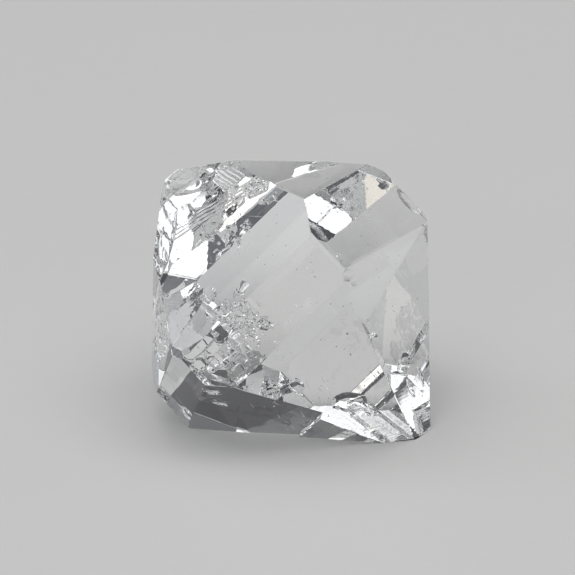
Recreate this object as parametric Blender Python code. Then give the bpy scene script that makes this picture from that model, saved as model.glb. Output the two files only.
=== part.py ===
"""A herkimer diamond: one clear quartz crystal with six sides and a six-faced point at each end.

The crystal lies on one face of its lower point, so its long axis rises from the floor. It is first
made upright and whole, then the wear is cut: a broken upper tip, chips, ledges, pits and scoops.
A place on the crystal is given on one face: "along" runs level round the crystal, "up" runs over
the face towards the upper point, and both start at the face's foot, the point nearest the middle.
"""

import math
import random

import bmesh
import bpy
from mathutils import Matrix, Vector

MM = 0.001

# Growth form: how far each face lies from the crystal's middle, going round the long axis.
SIDE_REACH = [7.23 * MM, 7.92 * MM, 6.05 * MM, 6.48 * MM, 8.23 * MM, 8.45 * MM]
UPPER_REACH = [8.08 * MM, 7.05 * MM, 5.17 * MM, 6.75 * MM, 7.67 * MM, 8.60 * MM]
LOWER_REACH = [6.45 * MM, 6.96 * MM, 6.25 * MM, 6.24 * MM, 7.41 * MM, 8.90 * MM]
REACH = {"side": SIDE_REACH, "upper": UPPER_REACH, "lower": LOWER_REACH}

# Quartz's own angle: how far an end face's normal leans from the long axis.
END_LEAN = math.radians(51.79)
SIDE_LEAN = math.radians(90.0)
FACE_TURN = math.radians(60.0)

# How it lies: lower face 0 is down, and the upper point looks back and to the left.
LYING_TURN = math.radians(147.3)

# Growth steps where back side 5 gives way to lower face 5: how far each step's floor, parallel to
# the side, and its riser, parallel to the lower face, lie from the crystal's middle.
BACK_FACE = 5
BACK_STEPS = [(7.69 * MM, 8.03 * MM), (7.20 * MM, 8.61 * MM)]

# Upper face 5 is sunk up to near the tip: how far its floor lies from the middle, and how high it reaches.
BACK_SHELF_REACH = 7.74 * MM
BACK_SHELF_TOP = 8.70 * MM

# Breaks and worn edges that take off everything beyond one flat surface.
TIP_BREAK = dict(face=("upper", 2), along=0.83 * MM, up=3.56 * MM, lean=9.5, toward=76)
TIP_BREAK_SIDE = dict(face=("upper", 2), along=-1.12 * MM, up=6.07 * MM, lean=11.3, toward=121, sink=0.32 * MM)
TOP_EDGE_WEAR = dict(face=("upper", 3), along=2.0 * MM, up=4.46 * MM, lean=30.1, toward=29)
LEFT_EDGE_WEAR = dict(face=("upper", 1), along=-3.09 * MM, up=1.92 * MM, lean=17.0, toward=152, sink=0.21 * MM)
LOWER_TIP_WEAR = dict(face=("lower", 3), along=1.15 * MM, up=-8.03 * MM, lean=40.5, toward=-82)

# Narrow flats along the edge between two side faces: the two faces and the flat's width.
EDGE_FLATS = [((2, 3), 0.30 * MM), ((0, 1), 0.35 * MM)]

# Ledges: a floor sunk under the face, ending in a riser; the crystal is cut away towards heading.
FRONT_LEDGE = dict(face=("lower", 1), along=1.31 * MM, up=-2.57 * MM, lean=3.8, toward=-85, heading=79)
FRONT_LEDGE_SINK = 0.29 * MM
LEDGE_LENGTH = 9.0 * MM
LEDGE_WIDTH = 9.0 * MM

# Terraces that step down over the break towards the lost tip.
TERRACE_START = dict(along=0.10 * MM, up=0.28 * MM)
TERRACE_HEADING = 69.7
TERRACE_PITCH = 0.38 * MM
TERRACE_COUNT = 2
TERRACE_SINK = 0.06 * MM

# Saw-toothed ribs across the break, behind the terraces.
RIB_START = dict(along=2.35 * MM, up=2.25 * MM)
RIB_HEADING = 192.0
RIB_PITCH = (0.20 * MM, 0.38 * MM)
RIB_COUNT = 7
RIB_LENGTH = (1.7 * MM, 2.6 * MM)
RIB_SINK = 0.14 * MM
RIB_LEAN = 14.0
RIB_SEED = 3

# Shell-shaped chips: half sizes along and up, then the depth under the face.
SCOOPS = {
    "tip_hollow": dict(face=("break", 0), along=-0.55 * MM, up=4.75 * MM, size=(1.35, 1.10), depth=0.46, turn=-42),
    "tip_shell": dict(face=("break", 0), along=-1.45 * MM, up=2.35 * MM, size=(0.95, 1.30), depth=0.26, turn=15),
    "tip_shell_low": dict(face=("break", 0), along=-0.35 * MM, up=1.75 * MM, size=(0.80, 0.60), depth=0.20, turn=-30),
    "crest_chip": dict(face=("break", 0), along=0.95 * MM, up=4.15 * MM, size=(0.60, 0.40), depth=0.24, turn=-60),
    "left_shell": dict(face=("upper", 2), along=-3.30 * MM, up=4.40 * MM, size=(0.62, 0.95), depth=0.46, turn=-20),
    "belly_chip": dict(face=("lower", 2), along=-0.95 * MM, up=-3.55 * MM, size=(0.62, 1.10), depth=0.24, turn=8),
    "corner_chip": dict(face=("side", 2), along=3.62 * MM, up=-2.35 * MM, size=(0.42, 0.42), depth=0.26, turn=0),
    "left_chip": dict(face=("side", 2), along=-5.60 * MM, up=-0.55 * MM, size=(0.50, 0.45), depth=0.24, turn=30),
    "left_chip_low": dict(face=("side", 1), along=1.55 * MM, up=-1.05 * MM, size=(0.50, 0.30), depth=0.20, turn=0),
    "under_shell": dict(face=("lower", 1), along=0.55 * MM, up=2.35 * MM, size=(0.42, 1.25), depth=0.16, turn=12),
    "under_shell_high": dict(face=("lower", 1), along=1.55 * MM, up=3.15 * MM, size=(0.34, 0.75), depth=0.12, turn=8),
    "right_chip": dict(face=("lower", 3), along=0.85 * MM, up=-3.75 * MM, size=(0.42, 0.62), depth=0.20, turn=20),
    "tip_chip": dict(face=("lower", 3), along=0.20 * MM, up=-7.75 * MM, size=(0.55, 0.40), depth=0.22, turn=0),
    "tip_chip_side": dict(face=("lower", 3), along=1.35 * MM, up=-7.45 * MM, size=(0.42, 0.40), depth=0.20, turn=0),
    "back_edge_chip": dict(face=("side", 5), along=-4.60 * MM, up=0.60 * MM, size=(0.45, 0.95), depth=0.30, turn=0),
    "back_corner_chip": dict(face=("side", 5), along=3.55 * MM, up=0.40 * MM, size=(0.55, 0.60), depth=0.28, turn=25),
    "back_top_chip": dict(face=("upper", 4), along=3.35 * MM, up=0.80 * MM, size=(0.55, 1.10), depth=0.24, turn=12),
}

# Fields of small sunk plates that growth left: where, how far they spread, how many, how big.
PLATE_FIELDS = {
    "plates": dict(face=("side", 2), along=-4.05 * MM, up=0.15 * MM, spread=(1.55, 1.15), count=16,
                   length=(0.35, 0.95), width=(0.14, 0.34), sink=(0.05, 0.10), turn=4.0),
    "crumbs_high": dict(face=("upper", 2), along=-2.40 * MM, up=-1.45 * MM, spread=(1.15, 1.25), count=14,
                        length=(0.22, 0.50), width=(0.16, 0.36), sink=(0.07, 0.15), turn=80.0),
    "crumbs_low": dict(face=("side", 2), along=-1.35 * MM, up=-0.05 * MM, spread=(0.85, 0.60), count=9,
                       length=(0.20, 0.45), width=(0.14, 0.30), sink=(0.06, 0.12), turn=80.0),
}
PLATE_SEED = 7

BLANK_SIZE = 60.0 * MM
CUT_MARGIN = 0.6 * MM
SCOOP_SEGMENTS = 20
SCOOP_RINGS = 12

QUARTZ_COLOUR = (0.93, 0.94, 0.93, 1.0)
QUARTZ_IOR = 1.55
QUARTZ_ROUGHNESS = 0.02


def clear_scene():
    """Remove every object that is already in the scene."""
    for thing in list(bpy.data.objects):
        bpy.data.objects.remove(thing, do_unlink=True)


def new_collection(name):
    """A fresh collection in the scene."""
    collection = bpy.data.collections.new(name)
    bpy.context.scene.collection.children.link(collection)
    return collection


def quartz_material():
    """Clear, colourless quartz."""
    material = bpy.data.materials.new("clear_quartz")
    material.use_nodes = True
    shader = material.node_tree.nodes["Principled BSDF"]
    shader.inputs["Base Color"].default_value = QUARTZ_COLOUR
    shader.inputs["Roughness"].default_value = QUARTZ_ROUGHNESS
    shader.inputs["Metallic"].default_value = 0.0
    shader.inputs["IOR"].default_value = QUARTZ_IOR
    shader.inputs["Transmission Weight"].default_value = 1.0
    return material


def face_frame(ring, index):
    """The matrix whose x, y and z are a face's along, up and outward directions, at the face's foot."""
    if ring == "break":
        return spot(**TIP_BREAK)
    lean = {"upper": END_LEAN, "side": SIDE_LEAN, "lower": math.pi - END_LEAN}[ring]
    turned = Matrix.Rotation(index * FACE_TURN, 4, "Z")
    leaned = Matrix.Rotation(lean, 4, "Y")
    # After the lean, local x points down the face and local y points level round the crystal.
    level_first = Matrix.Rotation(math.radians(90.0), 4, "Z")
    reach = Matrix.Translation((0.0, 0.0, REACH[ring][index]))
    return turned @ leaned @ reach @ level_first


def spot(face, along, up, lean=0.0, toward=0.0, heading=0.0, sink=0.0):
    """A frame at a place on a face, its z leaned towards one heading and its x turned to another."""
    place = Matrix.Translation((along, up, 0.0))
    towards = Matrix.Rotation(math.radians(toward), 4, "Z")
    leaned = Matrix.Rotation(math.radians(lean), 4, "Y")
    headed = Matrix.Rotation(math.radians(heading - toward), 4, "Z")
    sunk = Matrix.Translation((0.0, 0.0, -sink))
    return face_frame(*face) @ place @ towards @ leaned @ headed @ sunk


def slice_off(shape, point, normal):
    """Cut away what lies beyond a plane and close the cut with one flat face."""
    geometry = shape.verts[:] + shape.edges[:] + shape.faces[:]
    cut = bmesh.ops.bisect_plane(
        shape, geom=geometry, dist=1e-7, plane_co=point, plane_no=normal, clear_outer=True
    )
    rim = [item for item in cut["geom_cut"] if isinstance(item, bmesh.types.BMEdge)]
    if rim:
        bmesh.ops.contextual_create(shape, geom=rim)


def slice_at(shape, frame):
    """Slice a shape with the flat surface of a frame."""
    slice_off(shape, frame.translation, frame.to_3x3() @ Vector((0.0, 0.0, 1.0)))


def slice_edge(shape, first, second, width):
    """Cut a narrow flat along the upright edge between two side faces."""
    frames = [face_frame("side", first), face_frame("side", second)]
    normals = [frame.to_3x3() @ Vector((0.0, 0.0, 1.0)) for frame in frames]
    middle = (normals[0] + normals[1]).normalized()
    # The edge is where both reaches are met: solve for it in the level plane.
    reaches = Vector((REACH["side"][first], REACH["side"][second]))
    edge = Matrix((normals[0].xy, normals[1].xy)).inverted() @ reaches
    depth = 0.5 * width / math.tan(FACE_TURN)
    point = Vector((edge.x, edge.y, 0.0)) - middle * depth
    slice_off(shape, point, middle)


def grow_crystal():
    """The crystal's flat faces and large breaks, as a mesh standing upright round its middle."""
    shape = bmesh.new()
    bmesh.ops.create_cube(shape, size=BLANK_SIZE)
    for ring, reaches in REACH.items():
        for index in range(len(reaches)):
            slice_at(shape, face_frame(ring, index))
    for wear in (TIP_BREAK, TIP_BREAK_SIDE, TOP_EDGE_WEAR, LEFT_EDGE_WEAR, LOWER_TIP_WEAR):
        slice_at(shape, spot(**wear))
    for (first, second), width in EDGE_FLATS:
        slice_edge(shape, first, second, width)
    bmesh.ops.recalc_face_normals(shape, faces=shape.faces[:])
    return shape


def make_object(name, shape, collection):
    """Turn a finished bmesh into an object in a collection."""
    mesh = bpy.data.meshes.new(name)
    shape.to_mesh(mesh)
    shape.free()
    thing = bpy.data.objects.new(name, mesh)
    collection.objects.link(thing)
    return thing


def make_cutter(name, shape, collection):
    """A cutter: seen only as a wire, and never rendered."""
    cutter = make_object(name, shape, collection)
    cutter.hide_render = True
    cutter.display_type = "WIRE"
    return cutter


def block_cutter(name, frame, length, width, sink, collection):
    """A block whose floor is sunk under a frame's surface and whose back wall stands at its origin."""
    height = sink + CUT_MARGIN
    centre = Matrix.Translation((0.5 * length, 0.0, 0.5 * height - sink))
    stretch = Matrix.Diagonal((length, width, height, 1.0))
    shape = bmesh.new()
    bmesh.ops.create_cube(shape, size=1.0, matrix=frame @ centre @ stretch)
    return make_cutter(name, shape, collection)


def scoop_cutter(name, face, along, up, size, depth, turn, collection):
    """A flattened ball that leaves a shell-shaped hollow of a given depth."""
    half_along, half_up = (value * MM for value in size)
    depth = depth * MM
    # The ball's height is chosen so that its waist at the face has the wanted half sizes.
    ball_height = 2.5 * depth
    lift = ball_height - depth
    waist = math.sqrt(1.0 - (lift / ball_height) ** 2)
    frame = spot(face, along, up, heading=turn)
    centre = Matrix.Translation((0.0, 0.0, lift))
    stretch = Matrix.Diagonal((half_along / waist, half_up / waist, ball_height, 1.0))
    shape = bmesh.new()
    bmesh.ops.create_uvsphere(
        shape, u_segments=SCOOP_SEGMENTS, v_segments=SCOOP_RINGS, radius=1.0, matrix=frame @ centre @ stretch
    )
    return make_cutter(name, shape, collection)


def outward_of(ring, index):
    """The direction in which a face looks."""
    return face_frame(ring, index).to_3x3() @ Vector((0.0, 0.0, 1.0))


def wedge_cutter(name, planes, collection):
    """All that lies beyond each of two planes, given by their outward direction and their reach."""
    shape = bmesh.new()
    bmesh.ops.create_cube(shape, size=BLANK_SIZE)
    for outward, reach in planes:
        slice_off(shape, outward * reach, -outward)
    bmesh.ops.recalc_face_normals(shape, faces=shape.faces[:])
    return make_cutter(name, shape, collection)


def back_step_cutters(collection):
    """The staircase of growth steps at the back, and the sunk shelf above it."""
    side = outward_of("side", BACK_FACE)
    lower = outward_of("lower", BACK_FACE)
    upper = outward_of("upper", BACK_FACE)
    down = Vector((0.0, 0.0, -1.0))
    for number, (floor, riser) in enumerate(BACK_STEPS, 1):
        wedge_cutter(f"back_step_{number}", [(side, floor), (lower, riser)], collection)
    wedge_cutter("back_shelf", [(upper, BACK_SHELF_REACH), (down, -BACK_SHELF_TOP)], collection)


def ledge_cutters(collection):
    """The large ledge across the front lower face."""
    block_cutter("front_ledge", spot(**FRONT_LEDGE), LEDGE_LENGTH, LEDGE_WIDTH, FRONT_LEDGE_SINK, collection)


def terrace_cutters(collection):
    """Low steps, one after another, down towards the broken tip."""
    heading = math.radians(TERRACE_HEADING)
    for step in range(TERRACE_COUNT):
        away = step * TERRACE_PITCH
        along = TERRACE_START["along"] + away * math.cos(heading)
        up = TERRACE_START["up"] + away * math.sin(heading)
        frame = spot(("break", 0), along, up, heading=TERRACE_HEADING)
        sink = (step + 1) * TERRACE_SINK
        block_cutter(f"terrace_{step + 1}", frame, LEDGE_LENGTH, LEDGE_WIDTH, sink, collection)


def rib_cutters(collection):
    """Short leaning cuts side by side, uneven in width and length, which leave saw-toothed ribs."""
    heading = math.radians(RIB_HEADING)
    dice = random.Random(RIB_SEED)
    away = 0.0
    for tooth in range(RIB_COUNT):
        pitch = dice.uniform(*RIB_PITCH)
        length = dice.uniform(*RIB_LENGTH)
        along = RIB_START["along"] + away * math.cos(heading)
        up = RIB_START["up"] + away * math.sin(heading)
        frame = spot(("break", 0), along, up, lean=RIB_LEAN, toward=RIB_HEADING, heading=RIB_HEADING)
        block_cutter(f"rib_{tooth + 1}", frame, pitch, length, RIB_SINK, collection)
        away += pitch


def plate_cutters(name, field, dice, collection):
    """A field of small sunk plates, strewn in an oval and turned a little from the level."""
    for number in range(field["count"]):
        angle = dice.uniform(0.0, 2.0 * math.pi)
        away = math.sqrt(dice.random())
        along = field["along"] + away * math.cos(angle) * field["spread"][0] * MM
        up = field["up"] + away * math.sin(angle) * field["spread"][1] * MM
        length = dice.uniform(*field["length"]) * MM
        width = dice.uniform(*field["width"]) * MM
        sink = dice.uniform(*field["sink"]) * MM
        turn = dice.uniform(-field["turn"], field["turn"])
        frame = spot(field["face"], along, up, heading=turn)
        block_cutter(f"{name}_{number + 1}", frame, length, width, sink, collection)


def make_cutters(collection):
    """Every cutter, in the crystal's upright frame."""
    back_step_cutters(collection)
    ledge_cutters(collection)
    terrace_cutters(collection)
    rib_cutters(collection)
    for name, scoop in SCOOPS.items():
        scoop_cutter(name, collection=collection, **scoop)
    dice = random.Random(PLATE_SEED)
    for name, field in PLATE_FIELDS.items():
        plate_cutters(name, field, dice, collection)


def cut_with(crystal, cutters):
    """One Boolean takes every cutter away from the crystal."""
    modifier = crystal.modifiers.new("wear", "BOOLEAN")
    modifier.operation = "DIFFERENCE"
    modifier.operand_type = "COLLECTION"
    modifier.collection = cutters
    modifier.solver = "EXACT"


def lying_turn():
    """The turn from upright to lying on lower face 0."""
    return Matrix.Rotation(LYING_TURN, 4, "Z") @ Matrix.Rotation(END_LEAN, 4, "Y")


def lay_down(crystal, cutters):
    """Lay the crystal and its cutters down, with the middle of the bottom of its box at the origin."""
    turn = lying_turn()
    finished = crystal.evaluated_get(bpy.context.evaluated_depsgraph_get())
    corners = [turn @ vertex.co for vertex in finished.data.vertices]
    low = Vector([min(corner[axis] for corner in corners) for axis in range(3)])
    high = Vector([max(corner[axis] for corner in corners) for axis in range(3)])
    bottom_middle = Vector((0.5 * (low.x + high.x), 0.5 * (low.y + high.y), low.z))
    placed = Matrix.Translation(-bottom_middle) @ turn
    for thing in [crystal, *cutters.objects]:
        thing.matrix_world = placed


def main():
    clear_scene()
    object_collection = new_collection("herkimer_diamond")
    cutter_collection = new_collection("cutters")
    crystal = make_object("quartz_crystal", grow_crystal(), object_collection)
    crystal.data.materials.append(quartz_material())
    make_cutters(cutter_collection)
    cut_with(crystal, cutter_collection)
    lay_down(crystal, cutter_collection)


main()
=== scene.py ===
"""The looks of a herkimer diamond: clear quartz with its breaks, growth relief, cracks and hollows.

The crystal is made upright round its own middle and then laid down. A growth face is named by its ring
and its number in it, a break by a word. A place on a face is given by "along", which runs level round
the crystal, and "up", which runs over the face towards the upper point. Both start at the face's foot,
the point nearest the middle. Fine relief and hollows on the front are placed as the camera sees them,
in units right and down from the corner of its view. Angles without a conversion are in degrees.
"""

import math

import bmesh
import bpy
import numpy as np
from mathutils import Matrix, Vector


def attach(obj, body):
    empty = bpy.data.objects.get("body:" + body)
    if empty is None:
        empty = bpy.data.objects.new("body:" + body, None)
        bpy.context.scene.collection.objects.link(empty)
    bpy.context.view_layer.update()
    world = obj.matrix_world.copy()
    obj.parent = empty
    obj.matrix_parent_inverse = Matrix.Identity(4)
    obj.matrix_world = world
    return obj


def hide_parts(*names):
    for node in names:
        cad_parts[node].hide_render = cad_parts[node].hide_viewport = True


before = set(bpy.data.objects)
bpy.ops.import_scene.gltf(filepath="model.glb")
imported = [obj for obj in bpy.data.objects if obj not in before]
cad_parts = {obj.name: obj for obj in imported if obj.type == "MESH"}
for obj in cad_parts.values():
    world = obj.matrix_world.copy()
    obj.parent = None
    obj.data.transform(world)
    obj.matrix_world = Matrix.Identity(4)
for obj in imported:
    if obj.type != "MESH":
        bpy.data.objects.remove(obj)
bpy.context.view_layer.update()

MM = 0.001

# Growth form: how far each face lies from the crystal's middle, going round the long axis.
REACH = {
    "side": [7.23 * MM, 7.92 * MM, 6.05 * MM, 6.48 * MM, 8.23 * MM, 8.45 * MM],
    "upper": [8.08 * MM, 7.05 * MM, 5.17 * MM, 6.75 * MM, 7.67 * MM, 8.60 * MM],
    "lower": [6.45 * MM, 6.96 * MM, 6.25 * MM, 6.24 * MM, 7.41 * MM, 8.90 * MM],
}
GROWTH_FACES = [(ring, index) for ring in REACH for index in range(6)]
END_LEAN = math.radians(51.79)
LEAN = {"side": math.radians(90.0), "upper": END_LEAN, "lower": math.pi - END_LEAN}
FACE_TURN = math.radians(60.0)
LYING_TURN = math.radians(147.3)
BLANK_SIZE = 60.0 * MM

# Breaks and worn edges that take off everything beyond one flat surface.
WEAR = {
    "tip": dict(face=("upper", 2), along=0.83 * MM, up=3.56 * MM, lean=9.5, toward=76),
    "tip side": dict(
        face=("upper", 2), along=-1.12 * MM, up=6.07 * MM, lean=11.3, toward=121, sink=0.32 * MM
    ),
    "top edge": dict(face=("upper", 3), along=2.0 * MM, up=4.46 * MM, lean=30.1, toward=29),
    "left edge": dict(
        face=("upper", 1), along=-3.09 * MM, up=1.92 * MM, lean=17.0, toward=152, sink=0.21 * MM
    ),
    "lower tip": dict(face=("lower", 3), along=1.15 * MM, up=-8.03 * MM, lean=40.5, toward=-82),
}
EDGE_FLATS = [((2, 3), 0.30 * MM), ((0, 1), 0.35 * MM)]
EDGE_WEAR = 0.035 * MM
SHARP_ANGLE = math.radians(4.0)
FLAT_ANGLE = 0.002

# Growth steps and the sunk shelf at the back, and the ledge across the front lower face.
BACK_FACE = 5
BACK_STEPS = [(7.69 * MM, 8.03 * MM), (7.20 * MM, 8.61 * MM)]
BACK_SHELF_REACH = 7.74 * MM
BACK_SHELF_TOP = 8.70 * MM
FRONT_LEDGE = dict(face=("lower", 1), along=1.31 * MM, up=-2.57 * MM, lean=3.8, toward=-85, heading=79)
FRONT_LEDGE_SIZE = 9.0 * MM
FRONT_LEDGE_SINK = 0.29 * MM

# Shell-shaped chips at the back: their place, half sizes and depth in millimetres, and their turn.
# Each is left by a ball with faint rings, flattened to a height of a few times the chip's depth.
BACK_CHIPS = [
    dict(face=("side", 5), along=-4.60, up=0.60, size=(0.45, 0.95), depth=0.30, turn=0),
    dict(face=("side", 5), along=3.55, up=0.40, size=(0.55, 0.60), depth=0.28, turn=25),
    dict(face=("upper", 4), along=3.35, up=0.80, size=(0.55, 1.10), depth=0.24, turn=12),
]
CHIP_BALL_DEPTHS = 2.5
CHIP_RINGS = 13.0
CHIP_RING_HEIGHT = 0.012

# The view's unit, and where the crystal's middle is in the view.
UNIT = 0.055 * MM
MIDDLE_X = 290.0
MIDDLE_Y = 300.0

# Camera: how high it looks down from, its small roll, how far off it stands and what it frames.
CAMERA_ELEVATION = math.radians(20.5)
CAMERA_ROLL = math.radians(0.5)
CAMERA_DISTANCE = 300.0 * MM
FRAMED_WIDTH = 31.625 * MM
CAMERA_RIGHT = -0.1787 * MM
CAMERA_UP = 6.4946 * MM
SENSOR_WIDTH = 36.0


# --- Frames on the crystal ---


def face_frame(ring, index):
    """The matrix whose x, y and z are a face's along, up and outward directions, at the face's foot."""
    turned = Matrix.Rotation(index * FACE_TURN, 4, "Z")
    leaned = Matrix.Rotation(LEAN[ring], 4, "Y")
    level_first = Matrix.Rotation(math.radians(90.0), 4, "Z")
    reach = Matrix.Translation((0.0, 0.0, REACH[ring][index]))
    return turned @ leaned @ reach @ level_first


def spot(face, along, up, lean=0.0, toward=0.0, heading=0.0, sink=0.0):
    """A frame at a place on a face, its z leaned towards one heading and its x turned to another."""
    place = Matrix.Translation((along, up, 0.0))
    towards = Matrix.Rotation(math.radians(toward), 4, "Z")
    leaned = Matrix.Rotation(math.radians(lean), 4, "Y")
    headed = Matrix.Rotation(math.radians(heading - toward), 4, "Z")
    sunk = Matrix.Translation((0.0, 0.0, -sink))
    return face_frame(*face) @ place @ towards @ leaned @ headed @ sunk


def surface(name):
    """The frame of a growth face, named by its ring and number, or of a break, named by its word."""
    if name in WEAR:
        return spot(**WEAR[name])
    return face_frame(*name)


def outward_of(place):
    """The direction in which a frame's flat surface looks."""
    return place.to_3x3() @ Vector((0.0, 0.0, 1.0))


def plane_of(name):
    """A flat surface as its outward direction and its reach along it."""
    place = surface(name)
    outward = outward_of(place).normalized()
    return outward, outward.dot(place.translation)


def looking_turn():
    """The turn whose x, y and z are the camera's right, up and back."""
    rise = Matrix.Rotation(math.radians(90.0) - CAMERA_ELEVATION, 4, "X")
    return rise @ Matrix.Rotation(-CAMERA_ROLL, 4, "Z")


def lying_turn():
    """The turn that lays the upright crystal down on its lower face 0."""
    return Matrix.Rotation(LYING_TURN, 4, "Z") @ Matrix.Rotation(END_LEAN, 4, "Y")


def seen_turn():
    """The turn from the upright crystal to what the camera sees of it."""
    return looking_turn().inverted() @ lying_turn()


def seen_on(place, x, y):
    """The point of a frame's flat surface that the camera sees at a place in its view."""
    view = seen_turn().to_3x3()
    flat = Vector(((x - MIDDLE_X) * UNIT, (MIDDLE_Y - y) * UNIT, 0.0))
    start = view.transposed() @ flat
    away = view.transposed() @ Vector((0.0, 0.0, 1.0))
    normal = outward_of(place)
    reach = (place.translation - start).dot(normal) / away.dot(normal)
    return start + away * reach


BACK_OUTWARD = {ring: outward_of(face_frame(ring, BACK_FACE)) for ring in REACH}


# --- The flat-faced form ---


def slice_off(shape, point, normal):
    """Cut away what lies beyond a plane and close the cut with one flat face."""
    geometry = shape.verts[:] + shape.edges[:] + shape.faces[:]
    cut = bmesh.ops.bisect_plane(
        shape, geom=geometry, dist=1e-7, plane_co=point, plane_no=normal, clear_outer=True
    )
    rim = [item for item in cut["geom_cut"] if isinstance(item, bmesh.types.BMEdge)]
    if rim:
        bmesh.ops.contextual_create(shape, geom=rim)


def slice_at(shape, name):
    """Slice a shape with a growth face or a break."""
    place = surface(name)
    slice_off(shape, place.translation, outward_of(place))


def slice_edge(shape, first, second, width):
    """Cut a narrow flat along the upright edge between two side faces."""
    normals = [outward_of(face_frame("side", index)) for index in (first, second)]
    middle = (normals[0] + normals[1]).normalized()
    reaches = Vector((REACH["side"][first], REACH["side"][second]))
    edge = Matrix((normals[0].xy, normals[1].xy)).inverted() @ reaches
    depth = 0.5 * width / math.tan(FACE_TURN)
    slice_off(shape, Vector((edge.x, edge.y, 0.0)) - middle * depth, middle)


def grow_crystal():
    """The crystal's flat faces and large breaks, as a mesh standing upright round its middle."""
    shape = bmesh.new()
    bmesh.ops.create_cube(shape, size=BLANK_SIZE)
    for name in GROWTH_FACES + list(WEAR):
        slice_at(shape, name)
    for (first, second), width in EDGE_FLATS:
        slice_edge(shape, first, second, width)
    bmesh.ops.recalc_face_normals(shape, faces=shape.faces[:])
    return shape


def wedge(planes):
    """All that lies beyond each of two planes, given by their outward direction and their reach."""
    shape = bmesh.new()
    bmesh.ops.create_cube(shape, size=BLANK_SIZE)
    for outward, reach in planes:
        slice_off(shape, outward * reach, -outward)
    bmesh.ops.recalc_face_normals(shape, faces=shape.faces[:])
    return shape


def block(place, length, width, sink, margin=0.6 * MM):
    """A block whose floor is sunk under a frame's surface and whose back wall stands at its origin."""
    height = sink + margin
    centre = Matrix.Translation((0.5 * length, 0.0, 0.5 * height - sink))
    stretch = Matrix.Diagonal((length, width, height, 1.0))
    shape = bmesh.new()
    bmesh.ops.create_cube(shape, size=1.0, matrix=place @ centre @ stretch)
    return shape


def make_object(name, shape):
    """Turn a finished bmesh into an object in the scene."""
    mesh = bpy.data.meshes.new(name)
    shape.to_mesh(mesh)
    shape.free()
    thing = bpy.data.objects.new(name, mesh)
    bpy.context.scene.collection.objects.link(thing)
    return thing


def carve(thing, shape):
    """Take a cutter's shape away from an object."""
    cutter = make_object("cutter", shape)
    modifier = thing.modifiers.new("carve", "BOOLEAN")
    modifier.operation = "DIFFERENCE"
    modifier.object = cutter
    modifier.solver = "MANIFOLD"
    graph = bpy.context.evaluated_depsgraph_get()
    carved = bpy.data.meshes.new_from_object(thing.evaluated_get(graph))
    thing.modifiers.remove(modifier)
    old = thing.data
    thing.data = carved
    bpy.data.meshes.remove(old)
    bpy.data.objects.remove(cutter, do_unlink=True)


def carve_steps(thing):
    """Carve the growth steps and the shelf at the back, and the ledge at the front."""
    for floor_reach, riser in BACK_STEPS:
        carve(thing, wedge([(BACK_OUTWARD["side"], floor_reach), (BACK_OUTWARD["lower"], riser)]))
    below = (Vector((0.0, 0.0, -1.0)), -BACK_SHELF_TOP)
    carve(thing, wedge([(BACK_OUTWARD["upper"], BACK_SHELF_REACH), below]))
    carve(thing, block(spot(**FRONT_LEDGE), FRONT_LEDGE_SIZE, FRONT_LEDGE_SIZE, FRONT_LEDGE_SINK))


def lying_matrix(thing):
    """From upright to lying: the middle of the bottom of the crystal's box is at the origin."""
    turn = lying_turn()
    corners = [turn @ vertex.co for vertex in thing.data.vertices]
    low = Vector([min(corner[axis] for corner in corners) for axis in range(3)])
    high = Vector([max(corner[axis] for corner in corners) for axis in range(3)])
    bottom_middle = Vector((0.5 * (low.x + high.x), 0.5 * (low.y + high.y), low.z))
    return Matrix.Translation(-bottom_middle) @ turn


def soften_edges(thing, width):
    """Wear the sharp edges of a flat-faced object down to narrow flats."""
    shape = bmesh.new()
    shape.from_mesh(thing.data)
    bmesh.ops.dissolve_limit(shape, angle_limit=FLAT_ANGLE, verts=shape.verts[:], edges=shape.edges[:])
    sharp = [edge for edge in shape.edges if edge.calc_face_angle(0.0) > SHARP_ANGLE]
    bmesh.ops.bevel(shape, geom=sharp, offset=width, segments=1, affect="EDGES", clamp_overlap=True)
    shape.to_mesh(thing.data)
    shape.free()


def shelly_chip(face, along, up, size, depth, turn):
    """A flattened ball with faint rings: what it takes away leaves a shell-shaped chip."""
    half_along, half_up = size
    ball_height = CHIP_BALL_DEPTHS * depth
    lift = ball_height - depth
    waist = math.sqrt(1.0 - (lift / ball_height) ** 2)
    centre = Matrix.Translation((0.0, 0.0, lift * MM))
    stretch = Matrix.Diagonal((half_along / waist * MM, half_up / waist * MM, ball_height * MM, 1.0))
    shape = bmesh.new()
    bmesh.ops.create_uvsphere(shape, u_segments=64, v_segments=96, radius=1.0)
    for vertex in shape.verts:
        from_rim = math.acos(max(-1.0, min(1.0, -vertex.co.z)))
        vertex.co *= 1.0 + CHIP_RING_HEIGHT * math.cos(CHIP_RINGS * from_rim + 2.0 * vertex.co.x)
    shape.transform(spot(face, along * MM, up * MM, heading=turn) @ centre @ stretch)
    for ball_face in shape.faces:
        ball_face.smooth = True
    return shape


# --- Building blocks of the fine relief ---

# The tables of random numbers, and how far from their corners the view starts.
TABLE_SIZE = 64
NOISE_SHIFT = (517.3, 811.7)
BLOCK_SHIFT = 400.0

# The distance between a relief's points.
RELIEF_SPACING = 0.035 * MM
TIP_SPACING = 0.030 * MM
FLANK_SPACING = 0.040 * MM

# How far a cutter reaches above the surface, and how far its underside stands clear of the surface
# where its relief has no depth.
LID_HEIGHT = 1.0 * MM
SKIN = 0.004 * MM


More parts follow.
